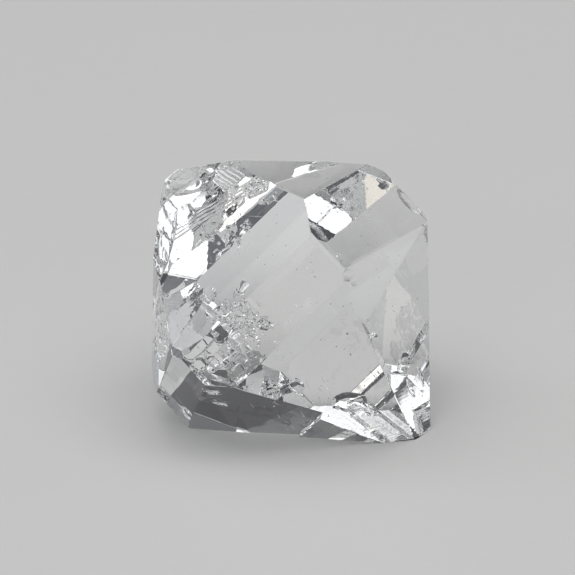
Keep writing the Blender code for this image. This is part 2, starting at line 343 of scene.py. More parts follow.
def lattice_noise(x, y, size, seed):
    """Smooth noise between -1 and 1, with lumps of a given size."""
    table = np.random.RandomState(seed).uniform(-1.0, 1.0, (TABLE_SIZE, TABLE_SIZE))
    u, v = x / size + NOISE_SHIFT[0], y / size + NOISE_SHIFT[1]
    i, j = np.floor(u).astype(int), np.floor(v).astype(int)
    fu, fv = u - i, v - j
    fu, fv = fu * fu * (3.0 - 2.0 * fu), fv * fv * (3.0 - 2.0 * fv)
    i, j = i % TABLE_SIZE, j % TABLE_SIZE
    next_i, next_j = (i + 1) % TABLE_SIZE, (j + 1) % TABLE_SIZE
    low = table[i, j] * (1.0 - fu) + table[next_i, j] * fu
    high = table[i, next_j] * (1.0 - fu) + table[next_i, next_j] * fu
    return low * (1.0 - fv) + high * fv


def blocks(x, y, size, seed, chance=1.0, slope=1.0, stretch=0.5, turn=0.0, spread=180.0):
    """Angular blocks scattered at random: how high the highest one stands, in units of their size.

    The chance is the share of places with a block, the slope how steep its sides are, the stretch the
    least of its breadth over its length, and the spread the range of its turn.
    """
    draws = np.random.RandomState(seed).uniform(0.0, 1.0, (6, TABLE_SIZE, TABLE_SIZE))
    u, v = x / size + BLOCK_SHIFT, y / size + BLOCK_SHIFT
    i, j = np.floor(u).astype(int), np.floor(v).astype(int)
    highest = np.zeros_like(x)
    for step_i in (-1, 0, 1):
        for step_j in (-1, 0, 1):
            cell = ((i + step_i) % TABLE_SIZE, (j + step_j) % TABLE_SIZE)
            shift_right, shift_down, heading, length, slimness, pick = (draw[cell] for draw in draws)
            right = u - (i + step_i + 0.2 + 0.6 * shift_right)
            down = v - (j + step_j + 0.2 + 0.6 * shift_down)
            angle = np.radians(turn + spread * (heading - 0.5))
            along = right * np.cos(angle) + down * np.sin(angle)
            across = down * np.cos(angle) - right * np.sin(angle)
            long = 0.35 + 0.55 * length
            short = long * (stretch + (1.0 - stretch) * slimness)
            inside = np.minimum(long - np.abs(along), short - np.abs(across))
            inside = np.minimum(inside, 0.75 * (long + short) - np.abs(along) - np.abs(across))
            top = 0.15 + 0.85 * ((pick * 7.3) % 1.0)
            height = np.clip(inside * slope, 0.0, top)
            highest = np.maximum(highest, np.where(pick < chance, height, 0.0))
    return highest


def ramp_between(value, low, high):
    """From 0 at low to 1 at high, smoothly."""
    part = np.clip((value - low) / (high - low), 0.0, 1.0)
    return part * part * (3.0 - 2.0 * part)


def inside_of(x, y, corners, soft):
    """1 well inside a convex outline in the view, 0 outside it, with a soft border of some width."""
    nearest = np.full_like(x, 1e9)
    for (x0, y0), (x1, y1) in zip(corners, corners[1:] + corners[:1]):
        length = math.hypot(x1 - x0, y1 - y0)
        away = ((x1 - x0) * (y - y0) - (y1 - y0) * (x - x0)) / length
        nearest = np.minimum(nearest, away)
    return ramp_between(nearest, 0.0, soft)


def bowl(x, y, centre, size, turn, depth):
    """A shell-shaped hollow: its depth falls off to nothing at its rim, and below zero outside."""
    angle = math.radians(turn)
    right, down = x - centre[0], y - centre[1]
    u = (right * math.cos(angle) + down * math.sin(angle)) / size[0]
    v = (down * math.cos(angle) - right * math.sin(angle)) / size[1]
    radius = np.sqrt(u * u + v * v)
    return depth * (1.0 - radius**2), radius


def shells_depth(x, y, shells, seed):
    """The depth of a few shell-shaped chips with faint rings."""
    depth = np.zeros_like(x)
    wave = lattice_noise(x, y, 9.0, seed)
    bent_x = x + 0.8 * lattice_noise(x, y, 6.0, seed + 1)
    bent_y = y + 0.8 * lattice_noise(x, y, 6.0, seed + 2)
    for centre, size, turn, deep, rings in shells:
        shell, radius = bowl(bent_x, bent_y, centre, size, turn, deep)
        depth = np.maximum(depth, shell + 0.005 * np.cos(math.tau * rings * radius + 1.5 * wave))
    return depth


def relief_cutter(on, corners, depth_of, spacing=RELIEF_SPACING, skin=SKIN):
    """A cutter whose underside is a fine relief: depth_of gives its depth at places in the view.

    Where the depth is nothing the underside stands clear of the surface by the skin.
    """
    place = surface(on)
    spots = [place.inverted() @ seen_on(place, x, y) for x, y in corners]
    low = [min(point[axis] for point in spots) for axis in range(2)]
    high = [max(point[axis] for point in spots) for axis in range(2)]
    columns = int((high[0] - low[0]) / spacing) + 2
    rows = int((high[1] - low[1]) / spacing) + 2
    x, y = np.meshgrid(np.linspace(low[0], high[0], columns), np.linspace(low[1], high[1], rows))
    flat = np.stack([x.ravel(), y.ravel(), np.zeros(x.size), np.ones(x.size)])
    seen = np.array(seen_turn() @ place) @ flat
    view_x = (seen[0] / UNIT + MIDDLE_X).reshape(x.shape)
    view_y = (MIDDLE_Y - seen[1] / UNIT).reshape(x.shape)
    depth = depth_of(view_x, view_y) * MM - skin
    underside = np.stack([x.ravel(), y.ravel(), -depth.ravel()], axis=1)
    number = np.arange(x.size).reshape(x.shape)
    rim = np.concatenate([number[0, :-1], number[:-1, -1], number[-1, :0:-1], number[:0:-1, 0]])
    lid = underside[rim].copy()
    lid[:, 2] = LID_HEIGHT
    quads = [number[:-1, :-1], number[1:, :-1], number[1:, 1:], number[:-1, 1:]]
    quads = np.stack(quads, axis=-1).reshape(-1, 4)
    top = np.arange(len(rim)) + x.size
    walls = np.stack([rim, np.roll(rim, -1), np.roll(top, -1), top], axis=1)
    mesh = bpy.data.meshes.new("relief")
    vertices = np.concatenate([underside, lid])
    mesh.from_pydata(vertices.tolist(), [], quads.tolist() + walls.tolist() + [top.tolist()])
    mesh.transform(place)
    shape = bmesh.new()
    shape.from_mesh(mesh)
    bpy.data.meshes.remove(mesh)
    bmesh.ops.recalc_face_normals(shape, faces=shape.faces[:])
    for face in shape.faces:
        face.smooth = True
    return shape


# --- The fine relief ---
#
# Depths are in millimetres, outlines and lump sizes in view units. A shell is given by its centre, its
# half sizes, its turn, its depth and the number of rings round it.

TIP_HOLLOW = dict(centre=(190, 178), size=(27, 16), turn=-16, depth=0.46)
TIP_SHELLS = [
    ((204, 198), (18, 8), -32, 0.15, 1.5),
    ((186, 214), (11, 15), 14, 0.15, 1.5),
    ((226, 164), (11, 4.5), -20, 0.13, 1.5),
]
TIP_GAP = dict(centre=(234, 188), size=(6, 3.4), turn=-42, depth=0.42)

# Saw-toothed ribs: the direction across them in the view, their distance and their height.
RIBS_OUTLINE = [(212, 178), (216, 166), (228, 158), (250, 176), (240, 182), (228, 194)]
RIBS_ACROSS = (0.55, -0.83)
RIB_PITCH = 3.7
RIB_HEIGHT = 0.10

# Terraces down to the break's front border: the direction across it in the view and where it lies,
# then each terrace's distance from it and its drop.
BORDER_ACROSS = (0.513, 0.858)
BORDER_AT = 292.8
TERRACES = [(2.2, 0.07), (4.6, 0.05), (7.4, 0.05), (9.8, 0.03)]

CRUMBS_OUTLINE = [(241, 187), (250, 180), (268, 178), (266, 188), (248, 196)]
TIP_CORNERS = [(145, 150), (285, 150), (285, 175), (165, 262), (145, 240)]


def tip_shells(x, y):
    """The broken tip's uneven floor, its large hollow and the shells beside it."""
    wave = lattice_noise(x, y, 13.0, 4)
    bent_x = x + 1.6 * lattice_noise(x, y, 11.0, 14)
    bent_y = y + 1.6 * lattice_noise(x, y, 11.0, 15)
    depth = 0.045 + 0.02 * lattice_noise(x, y, 21.0, 1) + 0.006 * lattice_noise(x, y, 7.0, 2)
    hollow, radius = bowl(bent_x, bent_y, **TIP_HOLLOW)
    hollow += 0.008 * np.cos(math.tau * 2.6 * radius + 2.5 * wave) + 0.02 * wave
    depth = np.maximum(depth, hollow)
    for centre, size, turn, deep, rings in TIP_SHELLS:
        shell, radius = bowl(bent_x, bent_y, centre, size, turn, deep)
        shell += 0.004 * np.cos(math.tau * rings * radius + 1.5 * wave)
        depth = np.maximum(depth, shell)
    return depth


def tip_ribs(x, y):
    """Saw-toothed ribs across the broken tip."""
    across = RIBS_ACROSS[0] * x + RIBS_ACROSS[1] * y + 1.2 * lattice_noise(x, y, 16.0, 7)
    across = across + 0.4 * lattice_noise(x, y, 5.0, 17)
    tooth = (across / RIB_PITCH + 0.3 * np.sin(across / 5.3)) % 1.0
    ribbed = inside_of(x, y, RIBS_OUTLINE, 3.0)
    return RIB_HEIGHT * ribbed * np.where(tooth < 0.8, tooth / 0.8, (1.0 - tooth) / 0.2)


def tip_depth(x, y):
    """The broken tip: shells, ribs, terraces down to its front border, crumbs and a small gap."""
    depth = tip_shells(x, y) + tip_ribs(x, y)
    from_border = BORDER_AT - (BORDER_ACROSS[0] * x + BORDER_ACROSS[1] * y)
    from_border = from_border + 1.0 * lattice_noise(x, y, 23.0, 8) + 0.25 * lattice_noise(x, y, 4.0, 18)
    for edge, drop in TERRACES:
        depth = depth + drop * ramp_between(edge - from_border, -0.25, 0.25)
    crumbly = inside_of(x, y, CRUMBS_OUTLINE, 3.0)
    depth = depth + 0.22 * crumbly * (1.0 - blocks(x, y, 7.0, 21, slope=1.3))
    depth = depth + 0.04 * crumbly * blocks(x, y, 3.0, 22, slope=1.6)
    gap, radius = bowl(x, y, **TIP_GAP)
    return depth + np.clip(gap, 0.0, 1.0)


PLATES_OUTLINE = [(168, 346), (178, 318), (218, 322), (246, 340), (266, 360), (240, 384), (204, 376)]
PITS_OUTLINE = [(198, 296), (228, 284), (262, 298), (275, 326), (250, 334), (205, 322)]
CORNER_CRUMBS_OUTLINE = [(184, 358), (196, 361), (212, 376), (224, 390), (206, 393), (190, 382)]
MIDDLE_CORNERS = [(170, 282), (280, 282), (280, 390), (170, 390)]


def middle_depth(x, y):
    """On the left of the middle front face: growth plates, pits above them and crumbs below."""
    wobble = 3.0 * lattice_noise(x, y, 15.0, 31)
    plates = inside_of(x + wobble, y - wobble, PLATES_OUTLINE, 9.0)
    raised = 0.048 * blocks(x, y, 21.0, 32, slope=9.0, turn=-42.0, spread=8.0)
    raised += 0.016 * blocks(x, y, 11.0, 38, chance=0.4, slope=8.0, turn=-42.0, spread=10.0)
    depth = plates * np.clip(0.060 - raised + 0.002 * lattice_noise(x, y, 15.0, 37), 0.0, 1.0)
    pitted = inside_of(x + wobble, y + wobble, PITS_OUTLINE, 6.0)
    pits = 0.22 * blocks(x, y, 8.0, 35, chance=0.55, slope=2.2, turn=35.0, spread=60.0, stretch=0.35)
    crumbly = inside_of(x, y, CORNER_CRUMBS_OUTLINE, 2.0)
    crumbs = 0.17 * crumbly * blocks(x, y, 5.5, 73, chance=0.8, slope=1.8)
    return np.maximum(np.maximum(depth, pitted * pits), crumbs)


BELLY_SHELLS = [
    ((349, 398), (18, 10), 4, 0.24, 2.5),
    ((362, 401), (7, 4), 40, 0.15, 1.5),
    ((338, 399), (7, 6), -30, 0.16, 2.0),
]
SPLINTERS_OUTLINE = [(350, 402), (356, 392), (375, 402), (382, 412), (366, 412)]
BELLY_CORNERS = [(325, 384), (388, 384), (388, 418), (325, 418)]


def belly_depth(x, y):
    """A shelly chip over the lower front edge, with a few splinters to its right."""
    crumbly = inside_of(x, y, SPLINTERS_OUTLINE, 3.0)
    splinters = 0.16 * crumbly * blocks(x, y, 6.0, 42, chance=0.8, slope=1.8, turn=40.0, spread=40.0)
    return np.maximum(shells_depth(x, y, BELLY_SHELLS, 41), splinters)


RIGHT_SHELLS = [
    ((402, 360), (7, 11), 14, 0.20, 1.5),
    ((398, 371), (9, 3), 8, 0.10, 1.0),
    ((409, 385), (3, 10), -24, 0.08, 1.0),
    ((419, 372), (2, 12), -16, 0.08, 1.0),
]
RIGHT_CORNERS = [(388, 344), (426, 344), (426, 398), (388, 398)]


def right_depth(x, y):
    """Thin shells and a crack's mouth on the right lower face."""
    return shells_depth(x, y, RIGHT_SHELLS, 51)


ARC_SHELLS = [
    ((200, 378), (8, 7), 30, 0.20, 3.0),
    ((195, 369.5), (6, 3.5), 20, 0.12, 2.0),
    ((214, 387), (12, 3.4), 6, 0.14, 2.5),
    ((216, 396.5), (17, 3.6), 12, 0.12, 2.0),
]
ARC_CORNERS = [(186, 360), (240, 378), (245, 408), (192, 392)]


def arcs_depth(x, y):
    """Shelly arcs round the lower left corner, where three front faces meet."""
    return shells_depth(x, y, ARC_SHELLS, 71)


FLANK_OUTLINE = [(163.5, 281), (168, 305), (173, 346), (160, 362), (155.5, 345), (157, 305)]
FLANK_CORNERS = [(154, 280), (174, 280), (174, 364), (154, 364)]


def flank_depth(x, y):
    """The rough, finely pitted left flank, its pits drawn out downwards."""
    rough = inside_of(x, y, FLANK_OUTLINE, 1.5)
    pits = blocks(2.2 * x, 0.8 * y, 5.0, 81, chance=0.8, slope=1.3, turn=80.0, spread=50.0, stretch=0.4)
    fine = blocks(2.2 * x, 0.9 * y, 2.8, 82, chance=0.8, slope=1.2, turn=80.0, spread=90.0, stretch=0.5)
    return rough * (0.10 * pits + 0.04 * fine + 0.02 * lattice_noise(2.0 * x, 0.5 * y, 9.0, 83))


STRIP_OUTLINE = [(150, 196), (164, 190), (180, 206), (178, 236), (170, 262), (162, 280), (150, 280)]
STRIP_TIP = (172, 176)
RIPPLE_LENGTH = 21.0
STRIP_CORNERS = [(148, 190), (184, 190), (184, 284), (148, 284)]


def strip_depth(x, y):
    """Soft ripples of the break that run down the left flank from the tip, beside a ridge."""
    bent_x = x + 2.0 * lattice_noise(x, y, 17.0, 101)
    from_tip = np.hypot(3.0 * (bent_x - STRIP_TIP[0]), y - STRIP_TIP[1])
    ripples = np.cos(math.tau * from_tip / RIPPLE_LENGTH + 1.2 * lattice_noise(x, y, 13.0, 102))
    narrow = 2.4 * x
    lumps = lattice_noise(narrow, y, 17.0, 103) + 0.45 * lattice_noise(narrow, y, 7.0, 104)
    scar = 0.05 * blocks(narrow, y, 13.0, 105, chance=0.5, slope=1.2, turn=70.0, spread=40.0, stretch=0.3)
    strip = inside_of(x, y, STRIP_OUTLINE, 3.5)
    return strip * np.clip(0.085 + 0.014 * ripples + 0.045 * lumps + scar, 0.0, 1.0)


MEETING_SHELLS = [
    ((347, 274), (5.5, 7), 24, 0.16, 1.5),
    ((351.5, 280), (3.5, 4.5), -10, 0.10, 1.0),
]
MEETING_CORNERS = [(336, 262), (360, 262), (360, 290), (336, 290)]


def meeting_depth(x, y):
    """A small chip where the two front side faces meet the upper one."""
    return shells_depth(x, y, MEETING_SHELLS, 111)


FOOT_OUTLINE = [(400, 424), (416, 418), (432, 412), (432, 440), (400, 446)]
FOOT_CORNERS = [(396, 410), (434, 410), (434, 446), (396, 446)]


def foot_depth(x, y):
    """Small crumbs where the lower point is worn off."""
    worn = inside_of(x, y, FOOT_OUTLINE, 4.0)
    return worn * 0.14 * blocks(x, y, 5.5, 91, chance=0.9, slope=1.5)


RELIEFS = [
    dict(on="tip", corners=TIP_CORNERS, depth_of=tip_depth, spacing=TIP_SPACING, skin=0.0),
    dict(on=("side", 2), corners=MIDDLE_CORNERS, depth_of=middle_depth),
    dict(on=("lower", 2), corners=BELLY_CORNERS, depth_of=belly_depth),
    dict(on=("lower", 3), corners=RIGHT_CORNERS, depth_of=right_depth),
    dict(on=("lower", 1), corners=ARC_CORNERS, depth_of=arcs_depth),
    dict(on=("upper", 1), corners=FLANK_CORNERS, depth_of=flank_depth, spacing=FLANK_SPACING),
    dict(on="tip side", corners=STRIP_CORNERS, depth_of=strip_depth),
    dict(on=("lower", 3), corners=MEETING_CORNERS, depth_of=meeting_depth),
    dict(on="lower tip", corners=FOOT_CORNERS, depth_of=foot_depth),
]


# --- Hollows, cracks and specks inside the crystal ---
#
# Sizes and depths are in millimetres. A streak's ends are places in the view.

CAVITY_HEADINGS = [-42.0, 48.0, 5.0, 90.0]
CAVITY_MARGIN = 0.05
STREAK_MARGIN = 0.004
STREAK_BLUNT = 0.55
SPECK_COUNT = 150
SPECK_SEED = 63
SPECK_REACH = 8.5
SPECK_SIZES = (0.012, 0.05)
SPECK_MARGIN = 0.15

# How far under the broken tip's flat surface hollows and specks stay, clear of its relief.
CAVITY_UNDER_TIP = 0.3
SPECK_UNDER_TIP = 0.7

CLUSTER_OUTLINE = [(199, 300), (212, 286), (240, 290), (262, 302), (275, 322), (258, 326), (222, 322)]
SPRINKLE_OUTLINE = [(238, 322), (262, 318), (285, 336), (280, 356), (254, 350)]
VEIL_OUTLINE = [(190, 232), (206, 216), (228, 214), (238, 236), (222, 250), (204, 248)]

BIG_RHOMB = [((236.5, 291.5), (246.5, 274.5))]
SMALL_RHOMB = [((251, 300.5), (260, 295.5))]
WHITE_CRACKS = [
    ((180, 252), (189, 244)),
    ((188, 244.6), (202, 239)),
    ((201, 239.2), (209, 241)),
    ((196, 283.5), (209, 264)),
    ((194, 284), (203, 271)),
]
TIP_CRACKS = [
    ((193.5, 209), (194.5, 219)),
    ((194.2, 218), (198.5, 224)),
]
LONG_LINES = [
    ((263, 194.5), (250, 206.5)),
    ((251, 205.5), (238, 217.5)),
    ((281, 188), (265, 220)),
    ((266, 218), (243, 262)),
    ((249, 215.5), (265, 216.5)),
    ((262, 222), (228, 280)),
    ((247, 227), (221, 262)),
]
FLANK_STREAKS = [
    ((179, 385), (185, 395)),
    ((171, 393), (178, 403)),
    ((177, 392), (184, 401)),
    ((182, 398), (187, 406)),
    ((174, 381), (177, 386)),
]
FRONT_STREAKS = [
    ((285, 400.5), (295, 412)),
    ((270, 397), (283, 402)),
    ((300, 407), (305, 413)),
    ((291, 420), (295, 427)),
    ((278, 411), (281, 415)),
    ((252, 400), (255, 404)),
    ((286, 424), (289, 428)),
]
PLATE_BARS = [
    ((234, 344), (246, 338.5)),
    ((248, 349), (252, 346)),
    ((211, 359.5), (219, 353)),
    ((232, 368.5), (237.5, 363)),
    ((204, 350.5), (208, 354)),
    ((189, 319), (191, 326)),
    ((205, 302), (206, 311)),
]
PLATE_LINES = [
    ((275, 341), (283, 337.5)),
    ((284, 348), (291, 342)),
]
PATCH_CRACKS = [
    ((316, 225), (325, 215)),
    ((324, 216.5), (331, 208)),
    ((332, 208), (337, 206.5)),
    ((336, 206.5), (344, 199)),
]
BELLY_STREAKS = [
    ((305.5, 376), (309.5, 386)),
    ((320.5, 372), (331.5, 393)),
    ((318.5, 382), (322, 388)),
    ((317, 389), (322, 400)),
    ((312, 396), (314, 400)),
    ((306, 392), (308, 399)),
]


def depth_below(plane, point):
    """How deep a point lies under a flat surface."""
    outward, reach = plane
    return reach - outward.dot(point)


FORM = [plane_of(name) for name in GROWTH_FACES]
WORN = [plane_of(name) for name in WEAR if name != "tip"]
TIP = plane_of("tip")


def depth_inside(point):
    """How deep a point lies in the flat-faced form, the broken tip left aside; below zero outside."""
    depth = min(depth_below(plane, point) for plane in FORM + WORN)
    for floor_reach, riser in BACK_STEPS:
        under_floor = floor_reach - BACK_OUTWARD["side"].dot(point)
        depth = min(depth, max(under_floor, riser - BACK_OUTWARD["lower"].dot(point)))
    under_shelf = BACK_SHELF_REACH - BACK_OUTWARD["upper"].dot(point)
    return min(depth, max(under_shelf, point.z - BACK_SHELF_TOP))


def fits(place, sizes, margin):
    """Whether a hollow of some half sizes stays inside the crystal, clear of its surfaces."""
    for x, y, z in ((1, 0, 0), (-1, 0, 0), (0, 1, 0), (0, -1, 0), (0, 0, 1), (0, 0, -1)):
        point = place @ Vector((x * sizes[0], y * sizes[1], z * sizes[2]))
        if depth_inside(point) < margin * MM or depth_below(TIP, point) < CAVITY_UNDER_TIP * MM:
            return False
    return True


def sight_frame(place, start, end, depth, tilt=0.0):
    """A frame sunk under a flat surface, its x running between two places in the view."""
    first = seen_on(place, *start)
    last = seen_on(place, *end)
    outward = outward_of(place).normalized()
    along = (last - first).normalized()
    across = outward.cross(along)
    middle = (first + last) * 0.5 - outward * depth
    turn = Matrix((along, across, outward)).transposed().to_4x4()
    return Matrix.Translation(middle) @ turn @ Matrix.Rotation(math.radians(tilt), 4, "X")


def add_void(shell, place, sizes, blunt=0.5):
    """Add a hollow with the shape of a small six-sided crystal, its walls facing into the hollow."""
    ring = [(math.cos(turn * math.pi / 3.0), math.sin(turn * math.pi / 3.0)) for turn in range(6)]
    scale = Matrix.Diagonal((*sizes, 1.0))
    corners = {}
    for level in (-1, 1):
        corners[level] = [place @ scale @ Vector((level * blunt, x, y)) for x, y in ring]
        corners[level] = [shell.verts.new(corner) for corner in corners[level]]
    ends = {level: shell.verts.new(place @ scale @ Vector((level, 0.0, 0.0))) for level in (-1, 1)}
    low, high = corners[-1], corners[1]
    for step in range(6):
        following = (step + 1) % 6
        shell.faces.new((low[following], low[step], high[step], high[following]))
        shell.faces.new((low[step], low[following], ends[-1]))
        shell.faces.new((high[following], high[step], ends[1]))


def cavities(shell, on, outline, count, seed, sizes, depths, flatness):
    """Small crystal-shaped hollows scattered under a face inside an outline in the view."""
    place = surface(on)
    random = np.random.RandomState(seed)
    low, high = np.min(outline, axis=0), np.max(outline, axis=0)
    tried = 0
    while tried < count:
        x, y = random.uniform(low, high)
        if inside_of(np.array([x]), np.array([y]), outline, 0.5)[0] < 1.0:
            continue
        turn = math.radians(random.choice(CAVITY_HEADINGS) + random.uniform(-8.0, 8.0))
        end = (x + math.cos(turn), y + math.sin(turn))
        depth = random.uniform(*depths) * MM
        sunk = sight_frame(place, (x, y), end, depth, random.uniform(0.0, 90.0))
        length = random.uniform(*sizes) * MM
        width = length * random.uniform(0.35, 0.8)
        hollow = (length, width, width * random.uniform(*flatness))
        blunt = random.uniform(0.4, 0.85)
        if fits(sunk, hollow, CAVITY_MARGIN):
            add_void(shell, sunk, hollow, blunt)
        tried += 1


def streaks(shell, on, ends, width, thickness, depth):
    """Needle-shaped hollows just under a face, each between two places in the view."""
    place = surface(on)
    for start, end in ends:
        length = (seen_on(place, *end) - seen_on(place, *start)).length
        sunk = sight_frame(place, start, end, depth * MM)
        sizes = (0.5 * length, width * MM, thickness * MM)
        if fits(sunk, sizes, STREAK_MARGIN):
            add_void(shell, sunk, sizes, STREAK_BLUNT)


def specks(shell):
    """Tiny hollows scattered through the whole crystal."""
    random = np.random.RandomState(SPECK_SEED)
    made = 0
    while made < SPECK_COUNT:
        point = Vector(random.uniform(-SPECK_REACH, SPECK_REACH, 3) * MM)
        turn = Matrix.Rotation(random.uniform(0.0, 6.28), 4, Vector(random.normal(size=3)))
        sizes = random.uniform(*SPECK_SIZES) * MM * random.uniform(0.6, 1.5, 3)
        if depth_inside(point) > SPECK_MARGIN * MM and depth_below(TIP, point) > SPECK_UNDER_TIP * MM:
            add_void(shell, Matrix.Translation(point) @ turn, sizes)
            made += 1


BIG_CAVITY = dict(sizes=(0.24, 0.46), depths=(0.55, 1.0), flatness=(0.8, 1.2))
SMALL_CAVITY = dict(sizes=(0.07, 0.18), depths=(0.12, 0.40), flatness=(0.7, 1.2))
FINE_CAVITY = dict(sizes=(0.03, 0.09), depths=(0.06, 0.8), flatness=(0.3, 0.9))
VEIL_CAVITY = dict(sizes=(0.12, 0.45), depths=(0.15, 1.3), flatness=(0.04, 0.10))
FINE_STREAK = dict(width=0.02, thickness=0.014, depth=0.04)
HAIRLINE = dict(width=0.014, thickness=0.010, depth=0.03)

HOLLOWS = [
    (cavities, dict(on=("side", 2), outline=CLUSTER_OUTLINE, count=24, seed=68, **BIG_CAVITY)),
    (cavities, dict(on=("side", 2), outline=CLUSTER_OUTLINE, count=46, seed=61, **SMALL_CAVITY)),
    (cavities, dict(on=("side", 2), outline=SPRINKLE_OUTLINE, count=22, seed=62, **FINE_CAVITY)),
    (streaks, dict(on=("upper", 2), ends=BIG_RHOMB, width=0.33, thickness=0.42, depth=0.60)),
    (streaks, dict(on=("upper", 2), ends=SMALL_RHOMB, width=0.10, thickness=0.12, depth=0.30)),
    (cavities, dict(on=("upper", 2), outline=VEIL_OUTLINE, count=30, seed=64, **VEIL_CAVITY)),
    (streaks, dict(on=("upper", 2), ends=WHITE_CRACKS, width=0.03, thickness=0.02, depth=0.10)),
    (streaks, dict(on="tip", ends=TIP_CRACKS, width=0.03, thickness=0.02, depth=0.42)),
    (streaks, dict(on=("upper", 2), ends=LONG_LINES, **HAIRLINE)),
    (streaks, dict(on=("side", 1), ends=FLANK_STREAKS, **FINE_STREAK)),
    (streaks, dict(on=("lower", 1), ends=FRONT_STREAKS, **FINE_STREAK)),
    (streaks, dict(on=("side", 2), ends=PLATE_BARS, width=0.035, thickness=0.02, depth=0.14)),
    (streaks, dict(on=("side", 2), ends=PLATE_LINES, **HAIRLINE)),
    (streaks, dict(on=("side", 3), ends=PATCH_CRACKS, width=0.055, thickness=0.05, depth=0.13)),
    (streaks, dict(on=("lower", 2), ends=BELLY_STREAKS, **HAIRLINE)),
]


def sharpen_flat_faces(shape):
    """Shade every face smooth and make the edges of the flat ones sharp, so that flat faces stay flat.

    One kind of shading all over keeps the absorption inside right.
    """
    for edge in shape.edges:
        edge.smooth = all(face.smooth for face in edge.link_faces)
    for face in shape.faces:
        face.smooth = True


def add_hollows(thing):
    """Put the hollows, cracks and specks into the carved crystal."""
    shell = bmesh.new()
    for make, values in HOLLOWS:
        make(shell, **values)
    specks(shell)
    shell.from_mesh(thing.data)
    sharpen_flat_faces(shell)
    shell.to_mesh(thing.data)
    shell.free()


# --- Materials ---

QUARTZ_IOR = 1.55
QUARTZ_TINT = (0.93, 0.94, 0.95, 1.0)
ABSORPTION_DENSITY = 15.0
FLOOR_SHADE = (0.77, 0.765, 0.75)
BUMP_HEIGHT = 0.02 * MM


def new_group(name, inputs, outputs):
    """A shader node group with named value inputs and outputs, and its two end nodes."""
    group = bpy.data.node_groups.new(name, "ShaderNodeTree")
    for label, value in inputs:
        socket = group.interface.new_socket(label, in_out="INPUT", socket_type="NodeSocketFloat")
        socket.default_value = value
    for label in outputs:
        group.interface.new_socket(label, in_out="OUTPUT", socket_type="NodeSocketFloat")
    start = group.nodes.new("NodeGroupInput")
    end = group.nodes.new("NodeGroupOutput")
    return group, start, end


def add_math(group, operation, first, second):
    """A math node in a group; each input is a socket or a number."""
    node = group.nodes.new("ShaderNodeMath")
    node.operation = operation
    for socket, value in zip(node.inputs, (first, second)):
        if isinstance(value, (int, float)):
            socket.default_value = value
        else:
            group.links.new(value, socket)
    return node.outputs[0]


def add_noise(group, scale, detail):
    """A noise texture in the object's own space; its scale, in lumps a metre, is a socket or a number."""
    place = group.nodes.new("ShaderNodeTexCoord")
    noise = group.nodes.new("ShaderNodeTexNoise")
    noise.inputs["Detail"].default_value = detail
    group.links.new(place.outputs["Object"], noise.inputs["Vector"])
    if isinstance(scale, (int, float)):
        noise.inputs["Scale"].default_value = scale
    else:
        group.links.new(scale, noise.inputs["Scale"])
    return noise.outputs["Fac"]


def patchy_film_group():
    """A thin handling film: roughness that comes and goes in soft patches."""
    inputs = [("Patch Scale", 300.0), ("Coverage", 0.5), ("Amount", 0.03), ("Base", 0.0)]
    group, start, end = new_group("patchy_film", inputs, ["Roughness"])
    noise = add_noise(group, start.outputs["Patch Scale"], 3.0)
    bare = add_math(group, "SUBTRACT", 1.0, start.outputs["Coverage"])
    mask = add_math(group, "MAXIMUM", add_math(group, "SUBTRACT", noise, bare), 0.0)
    mask = add_math(group, "MINIMUM", add_math(group, "MULTIPLY", mask, 4.0), 1.0)
    film = add_math(group, "MULTIPLY", mask, start.outputs["Amount"])
    group.links.new(add_math(group, "ADD", film, start.outputs["Base"]), end.inputs["Roughness"])
    return group


def growth_surface_group(long_axis):
    """Growth relief too fine to model: lines across the long axis and a slow waviness, as one height."""
    inputs = [
        ("Line Spacing", 0.0004), ("Line Height", 0.3), ("Wave Scale", 500.0), ("Wave Height", 1.0)
    ]
    group, start, end = new_group("growth_surface", inputs, ["Height"])
    place = group.nodes.new("ShaderNodeTexCoord")
    along = group.nodes.new("ShaderNodeVectorMath")
    along.operation = "DOT_PRODUCT"
    along.inputs[1].default_value = long_axis
    group.links.new(place.outputs["Object"], along.inputs[0])
    lines = add_math(group, "DIVIDE", along.outputs["Value"], start.outputs["Line Spacing"])
    wander = add_math(group, "MULTIPLY", add_noise(group, 350.0, 2.0), 9.0)
    line = add_math(group, "SINE", add_math(group, "ADD", lines, wander), 0.0)
    patches = add_math(group, "GREATER_THAN", add_noise(group, 420.0, 1.0), 0.5)
    lined = add_math(group, "MULTIPLY", line, patches)
    lined = add_math(group, "MULTIPLY", lined, start.outputs["Line Height"])
    wave = add_noise(group, start.outputs["Wave Scale"], 1.0)
    wave = add_math(group, "MULTIPLY", wave, start.outputs["Wave Height"])
    group.links.new(add_math(group, "ADD", lined, wave), end.inputs["Height"])
    return group


def fine_grain_group():
    """A fine even grain with slow mottling, as one shade round 1."""
    inputs = [("Grain Scale", 2500.0), ("Mottle Scale", 12.0), ("Contrast", 0.06)]
    group, start, end = new_group("fine_grain", inputs, ["Shade", "Height"])
    grain = add_noise(group, start.outputs["Grain Scale"], 2.0)
    mottle = add_noise(group, start.outputs["Mottle Scale"], 2.0)
    both = add_math(group, "SUBTRACT", add_math(group, "ADD", grain, mottle), 1.0)
    shade = add_math(group, "ADD", add_math(group, "MULTIPLY", both, start.outputs["Contrast"]), 1.0)
    group.links.new(shade, end.inputs["Shade"])
    group.links.new(grain, end.inputs["Height"])
    return group


def add_group(material, group, **values):
    """Put a node group in a material and set its inputs, given with underscores for spaces."""
    node = material.node_tree.nodes.new("ShaderNodeGroup")
    node.node_tree = group
    for label, value in values.items():
        node.inputs[label.replace("_", " ")].default_value = value
    return node


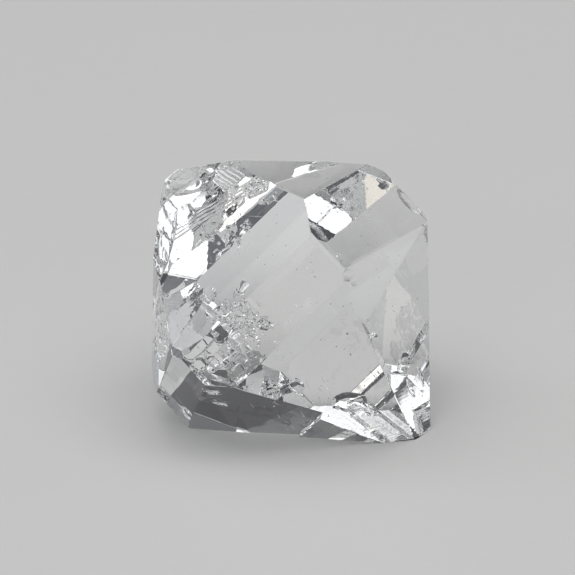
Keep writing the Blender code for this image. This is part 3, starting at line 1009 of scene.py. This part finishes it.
def add_bump(material, height, strength):
    """Feed a height to the material's shader as a bump."""
    tree = material.node_tree
    bump = tree.nodes.new("ShaderNodeBump")
    bump.inputs["Strength"].default_value = strength
    bump.inputs["Distance"].default_value = BUMP_HEIGHT
    tree.links.new(height, bump.inputs["Height"])
    tree.links.new(bump.outputs["Normal"], tree.nodes["Principled BSDF"].inputs["Normal"])


def new_material(name):
    """A material with its node tree and its shader."""
    material = bpy.data.materials.new(name)
    material.use_nodes = True
    return material, material.node_tree, material.node_tree.nodes["Principled BSDF"]


def quartz_material(film_group, long_axis):
    """Clear colourless quartz with a trace of absorption, faint growth lines and a patchy thin film."""
    material, tree, shader = new_material("clear_quartz")
    shader.inputs["Base Color"].default_value = (1.0, 1.0, 1.0, 1.0)
    shader.inputs["IOR"].default_value = QUARTZ_IOR
    shader.inputs["Transmission Weight"].default_value = 1.0
    film = add_group(material, film_group, Patch_Scale=420.0, Coverage=0.42, Amount=0.012)
    tree.links.new(film.outputs["Roughness"], shader.inputs["Roughness"])
    growth_group = growth_surface_group(long_axis)
    growth = add_group(material, growth_group, Line_Spacing=0.00006, Line_Height=0.15)
    add_bump(material, growth.outputs["Height"], 0.10)
    absorption = tree.nodes.new("ShaderNodeVolumeAbsorption")
    absorption.inputs["Color"].default_value = QUARTZ_TINT
    absorption.inputs["Density"].default_value = ABSORPTION_DENSITY
    tree.links.new(absorption.outputs["Volume"], tree.nodes["Material Output"].inputs["Volume"])
    return material


def floor_material(film_group):
    """A plain pale satin floor with a fine grain."""
    material, tree, shader = new_material("pale_floor")
    grain = add_group(material, fine_grain_group(), Grain_Scale=900.0, Contrast=0.02)
    shade = tree.nodes.new("ShaderNodeVectorMath")
    shade.operation = "SCALE"
    shade.inputs[0].default_value = FLOOR_SHADE
    tree.links.new(grain.outputs["Shade"], shade.inputs["Scale"])
    tree.links.new(shade.outputs["Vector"], shader.inputs["Base Color"])
    film = add_group(material, film_group, Patch_Scale=30.0, Amount=0.06, Base=0.42)
    tree.links.new(film.outputs["Roughness"], shader.inputs["Roughness"])
    add_bump(material, grain.outputs["Height"], 0.02)
    return material


# --- Floor, light and camera ---

FLOOR_SIZE = 4.0

# The dome's colour by the sine of its elevation, from level and below (0) to straight up (1).
DOME = [
    (0.00, (0.030, 0.030, 0.034)),
    (0.55, (0.045, 0.046, 0.050)),
    (0.66, (0.20, 0.205, 0.215)),
    (0.80, (0.66, 0.67, 0.68)),
    (1.00, (0.97, 0.985, 1.0)),
]
GLOWS = [
    dict(azimuth=251.0, elevation=25.0, inner=3.0, outer=12.0, color=(0.86, 0.84, 0.80)),
    dict(azimuth=161.0, elevation=4.0, inner=3.0, outer=11.0, color=(0.50, 0.475, 0.42)),
    dict(azimuth=158.0, elevation=36.0, inner=2.0, outer=13.0, color=(0.60, 0.62, 0.66)),
]
WORLD_STRENGTH = 1.75

# How often light may pass through faces or be reflected before it is given up.
MOST_PASSES = 32
SURE_PASSES = 24
MOST_REFLECTIONS = 16


def make_floor(film_group):
    """The plain pale floor that the crystal lies on."""
    bpy.ops.mesh.primitive_plane_add(size=FLOOR_SIZE, location=(0, 0, 0))
    floor = bpy.context.object
    floor.name = "floor"
    floor.data.materials.append(floor_material(film_group))


def make_camera():
    """The camera: a long lens, looking down a little from the front."""
    data = bpy.data.cameras.new("camera")
    data.sensor_width = SENSOR_WIDTH
    data.lens = SENSOR_WIDTH * CAMERA_DISTANCE / FRAMED_WIDTH
    data.clip_start = 0.01
    data.clip_end = 20.0
    camera = bpy.data.objects.new("camera", data)
    bpy.context.scene.collection.objects.link(camera)
    camera.matrix_world = looking_turn() @ Matrix.Translation((CAMERA_RIGHT, CAMERA_UP, CAMERA_DISTANCE))
    bpy.context.scene.camera = camera


def toward(azimuth, elevation):
    """A direction from its azimuth, counted from the right towards the back, and its elevation."""
    turn, rise = math.radians(azimuth), math.radians(elevation)
    return Vector((math.cos(rise) * math.cos(turn), math.cos(rise) * math.sin(turn), math.sin(rise)))


def add_glow(tree, direction, azimuth, elevation, inner, outer, color):
    """A soft round light in the world: full inside the inner angle, gone at the outer one."""
    facing = tree.nodes.new("ShaderNodeVectorMath")
    facing.operation = "DOT_PRODUCT"
    facing.inputs[1].default_value = toward(azimuth, elevation)
    tree.links.new(direction, facing.inputs[0])
    fade = tree.nodes.new("ShaderNodeMapRange")
    fade.interpolation_type = "SMOOTHSTEP"
    fade.inputs["From Min"].default_value = math.cos(math.radians(outer))
    fade.inputs["From Max"].default_value = math.cos(math.radians(inner))
    tree.links.new(facing.outputs["Value"], fade.inputs["Value"])
    tinted = tree.nodes.new("ShaderNodeVectorMath")
    tinted.operation = "SCALE"
    tinted.inputs[0].default_value = color
    tree.links.new(fade.outputs["Result"], tinted.inputs["Scale"])
    return tinted.outputs["Vector"]


def make_world():
    """Plain soft studio light: a broad dome that fades to a dim surround, and a few soft glows."""
    world = bpy.data.worlds.new("studio")
    bpy.context.scene.world = world
    world.use_nodes = True
    tree = world.node_tree
    direction = tree.nodes.new("ShaderNodeTexCoord").outputs["Generated"]
    split = tree.nodes.new("ShaderNodeSeparateXYZ")
    ramp = tree.nodes.new("ShaderNodeValToRGB")
    ramp.color_ramp.interpolation = "EASE"
    tree.links.new(direction, split.inputs[0])
    tree.links.new(split.outputs["Z"], ramp.inputs["Fac"])
    ramp.color_ramp.elements[0].color = (*DOME[0][1], 1.0)
    for height, color in DOME[1:]:
        ramp.color_ramp.elements.new(height).color = (*color, 1.0)
    light = ramp.outputs["Color"]
    for glow in GLOWS:
        added = tree.nodes.new("ShaderNodeVectorMath")
        tree.links.new(light, added.inputs[0])
        tree.links.new(add_glow(tree, direction, **glow), added.inputs[1])
        light = added.outputs["Vector"]
    background = tree.nodes["Background"]
    tree.links.new(light, background.inputs["Color"])
    background.inputs["Strength"].default_value = WORLD_STRENGTH


def let_light_through(scene):
    """Let light go on through the many faces that it meets inside a clear crystal."""
    scene.cycles.max_bounces = MOST_PASSES
    scene.cycles.transmission_bounces = MOST_PASSES
    scene.cycles.min_light_bounces = SURE_PASSES
    scene.cycles.glossy_bounces = MOST_REFLECTIONS
    scene.cycles.transparent_max_bounces = MOST_REFLECTIONS


def make_crystal(film_group):
    """The whole crystal: its faces and breaks, its fine relief, what lies inside it and its material."""
    thing = make_object("crystal", grow_crystal())
    carve_steps(thing)
    lying = lying_matrix(thing)
    soften_edges(thing, EDGE_WEAR)
    for chip in BACK_CHIPS:
        carve(thing, shelly_chip(**chip))
    for relief in RELIEFS:
        carve(thing, relief_cutter(**relief))
    add_hollows(thing)
    thing.data.transform(lying)
    thing.data.materials.clear()
    thing.data.materials.append(quartz_material(film_group, outward_of(lying)))
    return thing


handling_film = patchy_film_group()
crystal = make_crystal(handling_film)
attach(crystal, "root")
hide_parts("quartz_crystal")
make_floor(handling_film)
make_world()
make_camera()
let_light_through(bpy.context.scene)
bpy.context.scene.view_settings.view_transform = "Standard"
